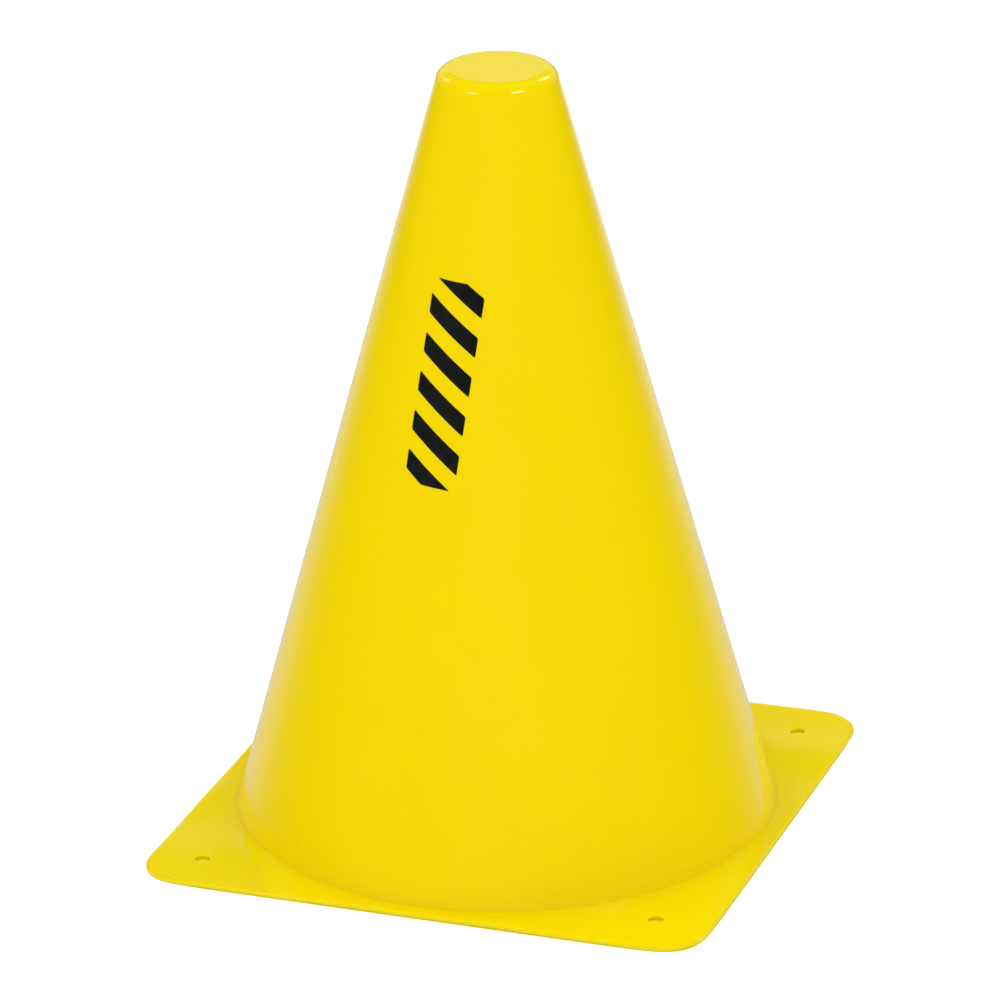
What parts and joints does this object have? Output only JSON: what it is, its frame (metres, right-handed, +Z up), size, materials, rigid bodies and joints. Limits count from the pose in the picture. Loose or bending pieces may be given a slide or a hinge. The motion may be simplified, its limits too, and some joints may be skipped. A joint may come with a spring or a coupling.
{
  "type": "marker cone",
  "caption": "Hollow sports marker cone with a flat crown and a thin square foot flange with corner holes; it stands on the ground to mark a course and nests over others like it.",
  "frame": {"origin": "on the ground under the cone's axis, at the middle of the square flange's underside", "axes": "+Z up along the cone's axis, X and Y along the sides of the flange, the print faces -Y"},
  "size_m": [0.134, 0.134, 0.18],
  "materials": {
    "yellow_plastic": "glossy moulded soft plastic",
    "black_ink": "satin printed ink"
  },
  "bodies": {
    "root": {"cone_shell": "yellow_plastic", "printed_stripes": "black_ink"}
  },
  "joints": []
}
